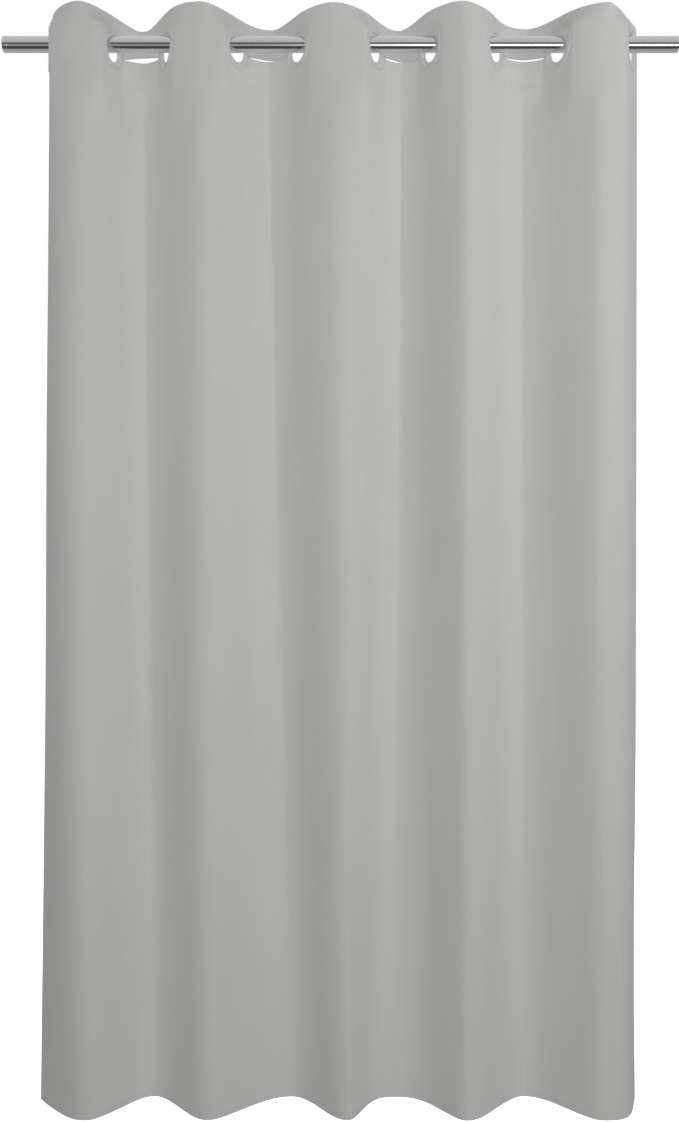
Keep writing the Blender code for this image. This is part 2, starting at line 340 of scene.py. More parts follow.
def makeStudio():
    scene = bpy.context.scene
    scene.view_settings.view_transform = "Standard"
    camera = bpy.data.objects.new("camera", bpy.data.cameras.new("camera"))
    scene.collection.objects.link(camera)
    camera.location = studio["cameraPlace"]
    camera.rotation_euler = (math.pi / 2, 0, 0)
    camera.data.lens = studio["lens"]
    camera.data.sensor_width = 36
    camera.data.shift_y = studio["shiftUp"]
    camera.data.clip_start = 0.05
    camera.data.clip_end = 60
    scene.camera = camera

    half = studio["floorSize"] / 2
    height = studio["floorHeight"]
    corners = [(x * half, y * half, height) for x, y in ((-1, -1), (1, -1), (1, 1), (-1, 1))]
    finish, nodes, _ = newMaterial("paleFloor")
    shader = nodes["Principled BSDF"]
    shader.inputs["Base Color"].default_value = (studio["floorTone"],) * 3 + (1,)
    shader.inputs["Roughness"].default_value = studio["floorRoughness"]
    shader.inputs["Emission Color"].default_value = (1, 1, 1, 1)
    shader.inputs["Emission Strength"].default_value = studio["floorGlow"]
    floor = linkMesh("floor", meshFromLists("floor", corners, [(0, 1, 2, 3)]), finish)
    floor.visible_glossy = False
    floor.visible_diffuse = False

    for name in ("key", "keyFill", "side", "front", "bounce", "back"):
        place, size, power = studio[name]
        light = bpy.data.objects.new(name + "Light", bpy.data.lights.new(name + "Light", "AREA"))
        scene.collection.objects.link(light)
        light.data.size = size
        light.data.energy = power
        light.data.use_shadow = False
        light.visible_glossy = False
        light.location = place
        aim = Vector(studio["aim"]) - Vector(place)
        light.rotation_euler = aim.to_track_quat("-Z", "Y").to_euler()


# brightness of what the chrome mirrors, by angle: 0 straight ahead, 90 overhead, -90 below
mirrorBands = (
    (-180, 0.45), (-110, 0.42), (-90, 0.34), (-83, 0.12), (-77, 0.06),
    (-48, 0.06), (-42, 0.30), (-22, 0.34), (-17, 0.09), (-2, 0.09),
    (6, 0.42), (22, 0.55), (110, 0.66), (150, 0.50), (180, 0.45),
)
# a brighter band mirrored by the right part of the rod, in degrees; soft is its blurred edge
softbox = {"low": -43, "high": -20, "soft": 3, "left": -0.06, "right": 0.10, "brightness": 1.6}


def makeWorld():
    world = bpy.data.worlds.new("studioWorld")
    bpy.context.scene.world = world
    world.use_nodes = True
    nodes, links = world.node_tree.nodes, world.node_tree.links
    nodes.clear()
    out = nodes.new("ShaderNodeOutputWorld")
    rays = nodes.new("ShaderNodeLightPath")
    place = nodes.new("ShaderNodeTexCoord")
    parts = nodes.new("ShaderNodeSeparateXYZ")
    links.new(place.outputs["Generated"], parts.inputs["Vector"])

    calc = mathMaker(nodes, links)

    def rise(value, low, high):
        node = nodes.new("ShaderNodeMapRange")
        node.interpolation_type = "SMOOTHSTEP"
        node.inputs["From Min"].default_value = low
        node.inputs["From Max"].default_value = high
        links.new(value, node.inputs["Value"])
        return node.outputs["Result"]

    # angle round the rod's own direction
    ahead = calc("MULTIPLY", parts.outputs["Y"], -1.0)
    angle = calc("ARCTAN2", parts.outputs["Z"], ahead)
    share = calc("ADD", calc("MULTIPLY", angle, 0.5 / math.pi), 0.5)
    ramp = nodes.new("ShaderNodeValToRGB")
    links.new(share, ramp.inputs["Fac"])
    steps = ramp.color_ramp.elements
    while len(steps) > 1:
        steps.remove(steps[-1])
    steps[0].position = 0
    steps[0].color = (mirrorBands[0][1],) * 3 + (1,)
    for degrees, bright in mirrorBands[1:]:
        step = steps.new((degrees + 180) / 360)
        step.color = (bright, bright, bright, 1)
    degrees = calc("MULTIPLY", angle, 180 / math.pi)
    low, high, soft = softbox["low"], softbox["high"], softbox["soft"]
    above = rise(degrees, low - soft, low + soft)
    below = calc("SUBTRACT", 1.0, rise(degrees, high - soft, high + soft))
    band = calc("MULTIPLY", above, below)
    band = calc("MULTIPLY", band, rise(parts.outputs["X"], softbox["left"], softbox["right"]))
    extra = calc("MULTIPLY", band, softbox["brightness"])
    mirror = calc("ADD", ramp.outputs["Color"], extra)

    around = nodes.new("ShaderNodeMapRange")
    around.inputs["From Min"].default_value = -1
    around.inputs["From Max"].default_value = 1
    around.inputs["To Min"].default_value = studio["fillBelow"]
    around.inputs["To Max"].default_value = studio["fill"] * 2 - studio["fillBelow"]
    links.new(parts.outputs["Z"], around.inputs["Value"])

    def shade(strength):
        node = nodes.new("ShaderNodeBackground")
        if isinstance(strength, (int, float)):
            node.inputs["Strength"].default_value = strength
        else:
            links.new(strength, node.inputs["Strength"])
        node.inputs["Color"].default_value = (1, 1, 1, 1)
        return node.outputs["Background"]

    def choose(ray, other, chosen):
        node = nodes.new("ShaderNodeMixShader")
        links.new(ray, node.inputs[0])
        links.new(other, node.inputs[1])
        links.new(chosen, node.inputs[2])
        return node.outputs["Shader"]

    lit = choose(rays.outputs["Is Glossy Ray"], shade(around.outputs["Result"]), shade(mirror))
    seen = choose(rays.outputs["Is Camera Ray"], lit, shade(1.0))
    links.new(seen, out.inputs["Surface"])


makeStudio()
makeWorld()
print("camera, floor and light placed")


rod = {
    "sides": 96,
    "wall": 0.001,
    "capLength": 0.008,
    "spigot": 0.014,             # part of a cap that fits inside the tube
    "gap": 0.0003,
    "edge": 0.0006,
    "sharpAngle": 35,
}


def turnAlongRod(name, outline, finish):
    # outline: closed loop of (distance along the rod, radius), all radii above 0 or capped at 0
    points, faces = [], []
    sides = rod["sides"]
    for i in range(sides):
        angle = 2 * math.pi * i / sides
        for along, radius in outline:
            points.append((along, radius * math.cos(angle), radius * math.sin(angle)))
    count = len(outline)
    for i in range(sides):
        j = (i + 1) % sides
        for a in range(count):
            b = (a + 1) % count
            faces.append((i * count + a, i * count + b, j * count + b, j * count + a))
    mesh = meshFromLists(name, points, faces)
    smoothMesh(mesh, rod["sharpAngle"], dropSlivers=True)
    return linkMesh(name, mesh, finish)


def makeRod():
    low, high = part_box("rod_tube")
    radius = (high.z - low.z) / 2
    inner = radius - rod["wall"]
    edge = rod["edge"] / 2
    tube = [
        (low.x, inner), (low.x, radius - edge), (low.x + edge, radius),
        (high.x - edge, radius), (high.x, radius - edge), (high.x, inner),
    ]
    pieces = [(turnAlongRod("rodTube", tube, chromeFinish), "rod_tube")]
    caps = (("rodCapLeft", "rod_cap_left", -1), ("rodCapRight", "rod_cap_right", 1))
    for name, node, side in caps:
        end = max(abs(corner.x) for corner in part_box(node))
        shoulder = end - rod["capLength"]
        spigot = inner - rod["gap"]
        edge = rod["edge"]
        inside = shoulder - rod["spigot"] + rod["gap"]
        cap = [
            (inside, 0), (inside, spigot), (shoulder, spigot), (shoulder, radius - edge),
            (shoulder + edge, radius), (end - edge, radius),
            (end - edge * 0.3, radius - edge * 0.3), (end, radius - edge), (end, 0),
        ]
        cap = [(side * along, reach) for along, reach in cap]
        pieces.append((turnAlongRod(name, cap, chromeFinish), node))
    for piece, node in pieces:
        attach(piece, "rod")
        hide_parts(node)


makeRod()
print("rod turned")


heading = {
    "flankAngles": (76, 74, 64, 58, 55, 63, 64, 57, 62, 65),   # degrees to the rod
    "sideMargin": 0.044,
    "flatHalf": 0.035,           # flat length on each side of an eyelet
    # low is a creased bend; one value for each fold
    "bendReach": (0.45, 0.40, 0.28, 0.40, 0.45, 0.40, 0.22, 0.40, 0.34),
}
topEdge = {
    # above the eyelets the heading relaxes into rounder folds
    "start": 0.014,
    "crossings": (
        -0.4605, -0.3644, -0.2848, -0.1704, -0.0717,
        0.0497, 0.1310, 0.2471, 0.3522, 0.4580,
    ),
    "crests": (-0.4090, -0.3270, -0.2200, -0.1125, -0.0102, 0.0960, 0.1916, 0.3050, 0.4215),
    "depths": (0.0495, 0.0500, 0.0475, 0.0450, 0.0450, 0.0465, 0.0495, 0.0410, 0.0456),
    "flankAngles": (68, 60, 60, 54, 56, 57, 62, 59, 53, 57),
    "flatHalf": 0.006,
    "bendReach": (0.56, 0.86, 0.70, 0.76, 0.56, 0.82, 0.50, 0.72, 0.60),
}
fall = {
    # where the cloth crosses the rod's plane and where its folds turn, at the bottom edge
    "crossings": (
        -0.4612, -0.3522, -0.2575, -0.1500, -0.0345,
        0.0393, 0.1532, 0.2511, 0.3586, 0.4677,
    ),
    "crests": (-0.3998, -0.3046, -0.2074, -0.0796, 0.0133, 0.0878, 0.1964, 0.2996, 0.4124),
    "depths": (0.049, 0.045, 0.047, 0.044, 0.047, 0.043, 0.048, 0.045, 0.048),
    "edgeAngles": (53, 72),
    "flatHalf": 0.008,
    # low is a sharp bend, high a flat-topped one; under the heading and at the bottom
    "frontReach": (0.54, 0.80),
    "backReach": (0.36, 0.76),
    "steepness": 1.5,            # of the cloth between folds, against a straight run
    "driftPower": 1.15,          # low moves the folds to their bottom places sooner
    "roundingHeight": 0.11,      # the stiff heading's fold shape fades out over this drop
    "ripple": 0.0012,            # slow unevenness at the bottom
    # fold, how far right of its middle, height, width, length and depth of each pucker
    "puckers": (
        (1, 0.006, -0.082, 0.016, 0.016, 0.0040),
        (3, 0.016, -0.080, 0.014, 0.014, 0.0022),
        (5, 0.012, -0.080, 0.014, 0.016, 0.0018),
        (7, 0.020, -0.076, 0.014, 0.014, 0.0018),
    ),
}
cloth = {
    "frontFace": 0.0015,         # from the middle of the heading's layers
    "headingBack": -0.0015,
    "singleBack": 0.0007,
    "hemBack": -0.0002,
    "bottomHem": 0.012,
    "sideHem": 0.015,
    "seamPull": 0.0003,          # how far a seam draws the cloth in, and how wide
    "seamWidth": 0.0016,
    "headingSeam": 0.0034,       # above the heading's lower edge
    "bottomSeam": 0.0022,        # below the hem's upper edge
    "sideSeam": 0.002,           # outside the side hem's inner edge
    "rimHeight": 0.0010,         # rounding of the top edge
    "rimDepth": 0.0007,
    "columnsPerFold": 40,
    "marginColumns": 12,
    "rowHeight": 0.0090,
    "headingRowHeight": 0.0050,
    # extra rows of points round the bottom edge, the hem, the heading's edge and the top
    "edgeRows": (0, 0.003),
    "hemRows": (-0.0045, -0.003, -0.0022, -0.0014, -0.0002, 0.0002),
    "seamRows": (-0.0003, 0.0002, 0.0022, 0.0034, 0.0046, 0.0066),
    "topRows": (-0.0016, -0.0006, 0),
}


def foldLine(height):
    # points of the cloth's middle line in plan at one height, from left to right
    drop = (headingLow - height) / (headingLow - clothBottom)
    drift = float(np.clip(drop, 0, 1)) ** fall["driftPower"]
    rounding = float(smoothStep((headingLow - height) / fall["roundingHeight"]))
    relaxed = float(smoothStep((height - topEdge["start"]) / (headingTop - topEdge["start"])))
    side = np.array([-1.0 if k % 2 == 0 else 1.0 for k in range(foldCount)])

    def mixed(stiff, low, high):
        value = np.array(stiff) * (1 - drift) + np.array(low) * drift
        return value * (1 - relaxed) + np.array(high) * relaxed

    cross = mixed(eyeletX, fall["crossings"], topEdge["crossings"])
    turnX = mixed(crestX, fall["crests"], topEdge["crests"])
    depth = mixed(np.abs(np.array(crestY)), fall["depths"], topEdge["depths"])
    flat = heading["flatHalf"] * (1 - rounding) + fall["flatHalf"] * rounding
    flat = flat * (1 - relaxed) + topEdge["flatHalf"] * relaxed
    frontReach = fall["frontReach"][0] * (1 - drift) + fall["frontReach"][1] * drift
    backReach = fall["backReach"][0] * (1 - drift) + fall["backReach"][1] * drift
    reach = np.where(side < 0, frontReach, backReach)
    reach = np.array(heading["bendReach"]) * (1 - rounding) + reach * rounding
    reach = reach * (1 - relaxed) + np.array(topEdge["bendReach"]) * relaxed
    ends = zip((heading["flankAngles"][0], heading["flankAngles"][-1]), fall["edgeAngles"])
    leftEdge, rightEdge = (math.radians(a * (1 - drift) + b * drift) for a, b in ends)
    stiffAngle = np.radians(heading["flankAngles"]) * (1 - relaxed)
    stiffAngle = stiffAngle + np.radians(topEdge["flankAngles"]) * relaxed

    def softAngles(depths):
        angles = []
        for i in range(eyeletCount):
            left, right = i - 1, i
            if i == 0:
                wanted = leftEdge
            elif i == eyeletCount - 1:
                wanted = rightEdge
            else:
                gap = turnX[right] - turnX[left]
                wanted = math.atan(fall["steepness"] * (depths[left] + depths[right]) / gap)
            for k in (left, right):
                if 0 <= k < foldCount:
                    wanted = max(wanted, math.atan(depths[k] / (0.8 * abs(turnX[k] - cross[i]))))
            angles.append(wanted)
        return np.array(angles)

    def line(scale):
        depths = depth * scale
        angles = stiffAngle * (1 - rounding) + softAngles(depths) * rounding
        points = []
        steps = np.linspace(0, 1, 25)[:, None]
        for i in range(eyeletCount):
            sign = -1.0 if i % 2 == 0 else 1.0
            direction = np.array((math.cos(angles[i]), sign * math.sin(angles[i])))
            centre = np.array((cross[i], 0.0))
            for which, k in ((-1.0, i - 1), (1.0, i)):
                if k < 0:
                    points.append((centre - direction * heading["sideMargin"])[None])
                    points.append((centre - direction * flat)[None])
                    continue
                if k >= foldCount:
                    points.append((centre + direction * flat)[None])
                    points.append((centre + direction * heading["sideMargin"])[None])
                    continue
                crest = np.array((turnX[k], side[k] * depths[k]))
                start = centre + which * direction * flat
                corner = centre + which * direction * depths[k] / math.sin(angles[i])
                first = start + (corner - start) * reach[k]
                second = crest + (corner - crest) * reach[k]
                bend = (
                    start * (1 - steps) ** 3 + first * 3 * steps * (1 - steps) ** 2
                    + second * 3 * steps ** 2 * (1 - steps) + crest * steps ** 3
                )
                points.append(bend[::-1][1:] if which < 0 else bend)
        return np.concatenate(points)

    return line


def lengthsAlong(points):
    steps = np.hypot(*(points[1:] - points[:-1]).T)
    return np.concatenate(([0.0], np.cumsum(steps)))


def evenLine(height, total):
    # the cloth neither stretches nor shrinks, so its folds deepen or flatten to keep its width
    line = foldLine(height)
    if height > headingLow:
        return line(1.0)
    low, high = 0.6, 1.5
    for _ in range(22):
        middle = (low + high) / 2
        if lengthsAlong(line(middle))[-1] < total:
            low = middle
        else:
            high = middle
    return line((low + high) / 2)


def layOutCloth():
    top = foldLine(eyeletZ)(1.0)
    along = lengthsAlong(top)
    total = along[-1]
    eyeletAlong = [float(np.interp(x, top[:, 0], along)) for x in eyeletX]
    columns = [np.linspace(0, eyeletAlong[0], cloth["marginColumns"] + 1)[:-1]]
    for left, right in zip(eyeletAlong, eyeletAlong[1:]):
        columns.append(np.linspace(left, right, cloth["columnsPerFold"] + 1)[:-1])
    columns.append(np.linspace(eyeletAlong[-1], total, cloth["marginColumns"] + 1))
    columns = np.concatenate(columns)
    # two close columns at each side hem's step
    for edge in (cloth["sideHem"], total - cloth["sideHem"]):
        nearest = int(np.argmin(np.abs(columns - edge)))
        columns[nearest] = edge - 0.0002
        columns = np.insert(columns, nearest + 1, edge + 0.0002)

    hemTop = clothBottom + cloth["bottomHem"]
    count = int(round((headingLow - hemTop) / cloth["rowHeight"]))
    rows = [clothBottom + more for more in cloth["edgeRows"]]
    rows += [hemTop + more for more in cloth["hemRows"]]
    rows += list(np.linspace(hemTop, headingLow, count + 1)[1:-1])
    rows += [headingLow + more for more in cloth["seamRows"]]
    count = int(round((headingTop - headingLow) / cloth["headingRowHeight"]))
    rows += list(np.linspace(headingLow, headingTop, count + 1)[2:-1])
    rows += [headingTop + more for more in cloth["topRows"]]
    rows = np.array(rows)

    middle = np.zeros((len(rows), len(columns), 2))
    normal = np.zeros_like(middle)
    for r, height in enumerate(rows):
        points = evenLine(height, total)
        along = lengthsAlong(points)
        scale = along[-1] / total
        for a in (0, 1):
            middle[r, :, a] = np.interp(columns * scale, along, points[:, a])
        near = 0.002
        ahead, behind = (
            np.stack([np.interp(columns * scale + step, along, points[:, a]) for a in (0, 1)], 1)
            for step in (near, -near)
        )
        tangent = ahead - behind
        tangent /= np.hypot(*tangent.T)[:, None]
        normal[r, :, 0] = tangent[:, 1]
        normal[r, :, 1] = -tangent[:, 0]

    # slow unevenness, none at the heading
    down = smoothStep((headingLow - rows) / (headingLow - clothBottom))[:, None]
    s, z = columns[None, :], rows[:, None]
    uneven = (
        np.sin(s * 43.0 + z * 2.1 + 0.4) * np.sin(z * 4.3 + s * 3.0)
        + 0.7 * np.sin(s * 71.0 - z * 3.3 + 2.0) * np.sin(z * 6.1 + 1.0)
        + 0.5 * np.sin(s * 23.0 + z * 5.0 + 4.0)
    )
    middle += normal * (uneven * down * fall["ripple"])[:, :, None]

    # slack cloth pulls in under the slits
    for fold, sideways, height, wide, tall, depth in fall["puckers"]:
        centre = (eyeletAlong[fold] + eyeletAlong[fold + 1]) / 2 + sideways
        below = smoothStep((headingLow + 0.004 - z) / 0.012)
        dent = np.exp(-(((s - centre) / wide) ** 2) - ((z - height) / tall) ** 2) * below
        middle -= normal * (dent * depth)[:, :, None]
    return columns, rows, middle, normal, eyeletAlong, total


columns, rows, middle, normal, eyeletAlong, clothWidth = layOutCloth()
hemTop = clothBottom + cloth["bottomHem"]
seamHeights = (headingLow + cloth["headingSeam"], hemTop - cloth["bottomSeam"])
seamEdge = cloth["sideHem"] - cloth["sideSeam"]


def rimShare(z):
    return np.clip((z - headingTop + cloth["rimHeight"]) / cloth["rimHeight"], 0, 1)


def frontOffset(s, z):
    # the stitched seams pull the cloth in a little
    pull, wide = cloth["seamPull"], cloth["seamWidth"]
    offset = np.full(np.broadcast(s, z).shape, cloth["frontFace"])
    for height in seamHeights:
        offset = offset - pull * np.exp(-(((z - height) / wide) ** 2))
    for edge in (seamEdge, clothWidth - seamEdge):
        below = z < headingLow
        offset = offset - pull * below * np.exp(-(((s - edge) / wide) ** 2))
    return offset - cloth["rimDepth"] * rimShare(z) ** 2


def backOffset(s, z):
    offset = np.full(np.broadcast(s, z).shape, cloth["singleBack"])
    nearEdge = (s < cloth["sideHem"]) | (s > clothWidth - cloth["sideHem"])
    offset = np.where(nearEdge, cloth["hemBack"], offset)
    offset = np.where(z < hemTop, cloth["hemBack"] - 0.0006 * nearEdge, offset)
    offset = np.where(z > headingLow, cloth["headingBack"], offset)
    return offset + cloth["rimDepth"] * rimShare(z) ** 2


def gridPlace(values, s, z):
    # smooth reading of a grid of values at any place on the flat cloth
    c = np.clip(np.searchsorted(columns, s, side="right") - 1, 0, len(columns) - 2)
    r = np.clip(np.searchsorted(rows, z, side="right") - 1, 0, len(rows) - 2)
    u = ((s - columns[c]) / (columns[c + 1] - columns[c]))[:, None]
    v = ((z - rows[r]) / (rows[r + 1] - rows[r]))[:, None]
    lower = values[r, c] * (1 - u) + values[r, c + 1] * u
    upper = values[r + 1, c] * (1 - u) + values[r + 1, c + 1] * u
    return lower * (1 - v) + upper * v


def unit(vectors):
    return vectors / np.linalg.norm(vectors, axis=-1, keepdims=True)


def surfaceNormals():
    s, z = columns[None, :], rows[:, None]
    faces = {}
    offsetGrids = {"front": frontOffset(s, z), "back": np.zeros((len(rows), len(columns)))}
    for which, offsets in offsetGrids.items():
        place = np.zeros((len(rows), len(columns), 3))
        place[:, :, :2] = middle + normal * offsets[:, :, None]
        place[:, :, 2] = rows[:, None]
        acrossCloth = np.gradient(place, columns, axis=1)
        upCloth = np.gradient(place, rows, axis=0)
        faces[which] = unit(np.cross(acrossCloth, upCloth))
    return faces


clothNormals = surfaceNormals()


def hungPlace(flat):
    # flat: points (along the cloth, minus the offset to the room, height)
    s, offset, z = flat[:, 0], -flat[:, 1], flat[:, 2]
    plan = gridPlace(middle, s, z) + unit(gridPlace(normal, s, z)) * offset[:, None]
    return np.column_stack((plan, z))


eyeletCut = {
    "holeRadius": 0.0250,
    "sides": 64,
    # the slit in each back fold: how far it opens up and down at its middle, and at its ends
    "slitUp": (0.0078, 0.0025, 0.0030, 0.0026),
    "slitDown": (0.0010, 0.0008, 0.0008, 0.0010),
    "slitSpan": ((0.12, 0.96), (0.0, 0.66), (0.04, 0.52), (0.0, 1.0)),
    "slitRound": (1.2, 0.6, 0.6, 0.4),       # low keeps the opening even along the slit
    "slitEnd": 0.0003,
    "cutterDepth": 0.01,
}


def holeCutter(fold):
    radius, sides = eyeletCut["holeRadius"], eyeletCut["sides"]
    left, right = eyeletAlong[fold], eyeletAlong[fold + 1]

    def arc(centre, start, end):
        angles = np.linspace(start, end, sides)
        return [(centre + radius * math.cos(a), eyeletZ + radius * math.sin(a)) for a in angles]

    if fold % 2 == 0:
        step = 2 * math.pi * (1 - 1 / sides)
        outlines = [arc(left, 0, step), arc(right, 0, step)]
    else:
        slit = fold // 2
        lean = math.asin(eyeletCut["slitEnd"] / radius)
        outline = arc(left, lean, 2 * math.pi - lean)
        start, end = left + radius, right - radius
        places = np.linspace(0, 1, 25)[1:-1]
        begin, finish = eyeletCut["slitSpan"][slit]

        def lensAt(t):
            share = min(max((t - begin) / (finish - begin), 0), 1)
            return max(math.sin(math.pi * share), 0) ** eyeletCut["slitRound"][slit]

        def edgePoint(t, way, opened):
            gap = eyeletCut["slitEnd"] + lensAt(t) * opened
            return start + (end - start) * t, eyeletZ + way * gap

        outline += [edgePoint(t, -1, eyeletCut["slitDown"][slit]) for t in places]
        outline += arc(right, math.pi + lean, 3 * math.pi - lean)
        outline += [edgePoint(t, 1, eyeletCut["slitUp"][slit]) for t in places[::-1]]
        outlines = [outline]
    build = bmesh.new()
    for outline in outlines:
        near, far = (
            [build.verts.new((s, depth, z)) for s, z in outline]
            for depth in (-eyeletCut["cutterDepth"], eyeletCut["cutterDepth"])
        )
        count = len(outline)
        for i in range(count):
            j = (i + 1) % count
            build.faces.new((near[i], near[j], far[j], far[i]))
        build.faces.new(near)
        build.faces.new(far[::-1])
    bmesh.ops.recalc_face_normals(build, faces=build.faces)
    mesh = bpy.data.meshes.new("cutter")
    build.to_mesh(mesh)
    build.free()
    return linkMesh("cutter", mesh, clothFinish)


def foldColumns(fold):
    first, last = (int(np.argmin(np.abs(columns - eyeletAlong[i]))) for i in (fold, fold + 1))
    if fold == 0:
        first = 0
    if fold == foldCount - 1:
        last = len(columns) - 1
    return first, last


def flatShell(fold):
    first, last = foldColumns(fold)
    s = columns[first:last + 1]
    grids = []
    for offsets in (frontOffset(s[None, :], rows[:, None]), backOffset(s[None, :], rows[:, None])):
        flat = np.zeros((len(rows), len(s), 3))
        flat[:, :, 0] = s[None, :]
        flat[:, :, 1] = -offsets
        flat[:, :, 2] = rows[:, None]
        grids.append(flat.reshape(-1, 3))
    points = np.concatenate(grids)
    wide, tall = len(s), len(rows)
    shift = wide * tall
    index = np.arange(shift).reshape(tall, wide)
    a, b, c, d = index[:-1, :-1], index[:-1, 1:], index[1:, 1:], index[1:, :-1]
    front = np.stack((a, b, c, d), -1).reshape(-1, 4)
    back = np.stack((a, d, c, b), -1).reshape(-1, 4) + shift
    rim = np.concatenate((index[0, :], index[1:, -1], index[-1, -2::-1], index[-2:0:-1, 0]))
    after = np.roll(rim, -1)
    walls = np.stack((after, rim, rim + shift, after + shift), -1)
    faces = np.concatenate((front, back, walls))
    return meshFromLists(f"clothFold{fold + 1}", points, faces.tolist())


def cutHoles(thing, cutter):
    modifier = thing.modifiers.new("holes", "BOOLEAN")
    modifier.operation = "DIFFERENCE"
    modifier.solver = "EXACT"
    modifier.object = cutter
    graph = bpy.context.evaluated_depsgraph_get()
    mesh = bpy.data.meshes.new_from_object(thing.evaluated_get(graph))
    thing.modifiers.remove(modifier)
    thing.data = mesh
    bpy.data.objects.remove(cutter)
    return mesh


def hangMesh(mesh):
    # bend the flat, cut shell into its folds and give it the continuous cloth's normals
    count = len(mesh.vertices)
    flat = np.zeros(count * 3)
    mesh.vertices.foreach_get("co", flat)
    flat = flat.reshape(-1, 3)
    faceNormals = np.zeros(len(mesh.polygons) * 3)
    mesh.polygons.foreach_get("normal", faceNormals)
    faceNormals = faceNormals.reshape(-1, 3)
    corner = np.zeros(len(mesh.loops), dtype=np.int64)
    mesh.loops.foreach_get("vertex_index", corner)
    totals = np.zeros(len(mesh.polygons), dtype=np.int64)
    mesh.polygons.foreach_get("loop_total", totals)
    owner = np.repeat(np.arange(len(mesh.polygons)), totals)

    uv = mesh.uv_layers.new(name="clothUV")
    flatCorners = flat[corner]
    uv.data.foreach_set("uv", flatCorners[:, (0, 2)].astype(np.float32).ravel())

    mesh.vertices.foreach_set("co", hungPlace(flat).astype(np.float32).ravel())
    mesh.update()
    hungNormals = np.zeros(len(mesh.polygons) * 3)
    mesh.polygons.foreach_get("normal", hungNormals)
    hungNormals = hungNormals.reshape(-1, 3)
    loopNormals = hungNormals[owner]
    facing = faceNormals[owner, 1]
    s, z = flatCorners[:, 0], flatCorners[:, 2]
    for which, chosen, sign in (("front", facing < -0.8, 1.0), ("back", facing > 0.8, -1.0)):
        loopNormals[chosen] = sign * unit(gridPlace(clothNormals[which], s[chosen], z[chosen]))
    mesh.shade_smooth()
    mesh.normals_split_custom_set(loopNormals.tolist())


bend = {"longest": 0.032, "clearance": 0.001}


def bendRange(fold):
    # how far the bend of a crest may reach to each side of its hinge
    first, last = foldColumns(fold)
    angles = [math.radians(heading["flankAngles"][i]) for i in (fold, fold + 1)]
    left = eyeletX[fold] + heading["flatHalf"] * math.cos(angles[0])
    right = eyeletX[fold + 1] - heading["flatHalf"] * math.cos(angles[1])
    if fold > 0:
        left = max(left, middle[:, first, 0].max())
    if fold < foldCount - 1:
        right = min(right, middle[:, last, 0].min())
    reach = min(bend["longest"], crestX[fold] - left, right - crestX[fold]) - bend["clearance"]
    return (crestX[fold] - reach, 0, 0), (crestX[fold] + reach, 0, 0)


def makeCloth():
    made = []
    for fold in range(foldCount):
        thing = linkMesh(f"clothFold{fold + 1}", flatShell(fold), clothFinish)
        hangMesh(cutHoles(thing, holeCutter(fold)))
        made.append(thing)
        print(f"cloth fold {fold + 1}: {len(thing.data.polygons)} faces")
    return made


clothFolds = makeCloth()


stitch = {
    "pitch": 0.0034,
    "length": 0.0026,
    "thickness": 0.00055,
    "proud": 0.25,               # share of the thickness that stands out of the cloth
    "seed": 7,
    "turnBy": 0.06,
}


def stitchTree():
    tree, sockets = newTree("stitchRun", (
        ("Pitch", "Float"), ("Length", "Float"), ("Thickness", "Float"), ("Turn By", "Float"),
        ("Seed", "Int"), ("Finish", "Material"),
    ))
    given = tree.nodes.new("NodeGroupInput").outputs
    run = addNode(tree, "GeometryNodeMeshToCurve", {"Mesh": given["Geometry"]})
    inputs = {"Curve": run, "Length": given["Pitch"]}
    spaced = addNode(tree, "GeometryNodeResampleCurve", inputs, mode="LENGTH")
    # each stitch leans a little its own way
    most = addNode(tree, "ShaderNodeCombineXYZ", {axis: given["Turn By"] for axis in "XYZ"})
    least = addNode(tree, "ShaderNodeVectorMath", {0: most, "Scale": -1}, operation="SCALE")
    inputs = {"Min": least, "Max": most, "Seed": given["Seed"]}
    lean = addNode(tree, "FunctionNodeRandomValue", inputs, "Value", data_type="FLOAT_VECTOR")
    tangent = addNode(tree, "GeometryNodeInputTangent", {})
    aim = addNode(tree, "ShaderNodeVectorMath", {0: tangent, 1: lean}, operation="ADD")
    turn = addNode(tree, "FunctionNodeAlignRotationToVector", {"Vector": aim}, axis="X")
    bead = addNode(tree, "GeometryNodeMeshIcoSphere", {"Radius": 0.5, "Subdivisions": 1})
    thick = given["Thickness"]
    size = addNode(tree, "ShaderNodeCombineXYZ", {"X": given["Length"], "Y": thick, "Z": thick})
    inputs = {"Points": spaced, "Instance": bead, "Rotation": turn, "Scale": size}
    stitches = addNode(tree, "GeometryNodeInstanceOnPoints", inputs)
    real = addNode(tree, "GeometryNodeRealizeInstances", {"Geometry": stitches})
    smooth = addNode(tree, "GeometryNodeSetShadeSmooth", {"Geometry": real})
    paintResult(tree, smooth, given["Finish"])
    return tree, sockets


def growFrom(thing, tree, values):
    # run a node tree on an object, keep the plain mesh it makes and drop the modifier
    modifier = thing.modifiers.new("grow", "NODES")
    modifier.node_group = tree
    for identifier, value in values.items():
        modifier[identifier] = value
    thing.update_tag()
    graph = bpy.context.evaluated_depsgraph_get()
    mesh = bpy.data.meshes.new_from_object(thing.evaluated_get(graph))
    thing.modifiers.remove(modifier)
    thing.data = mesh


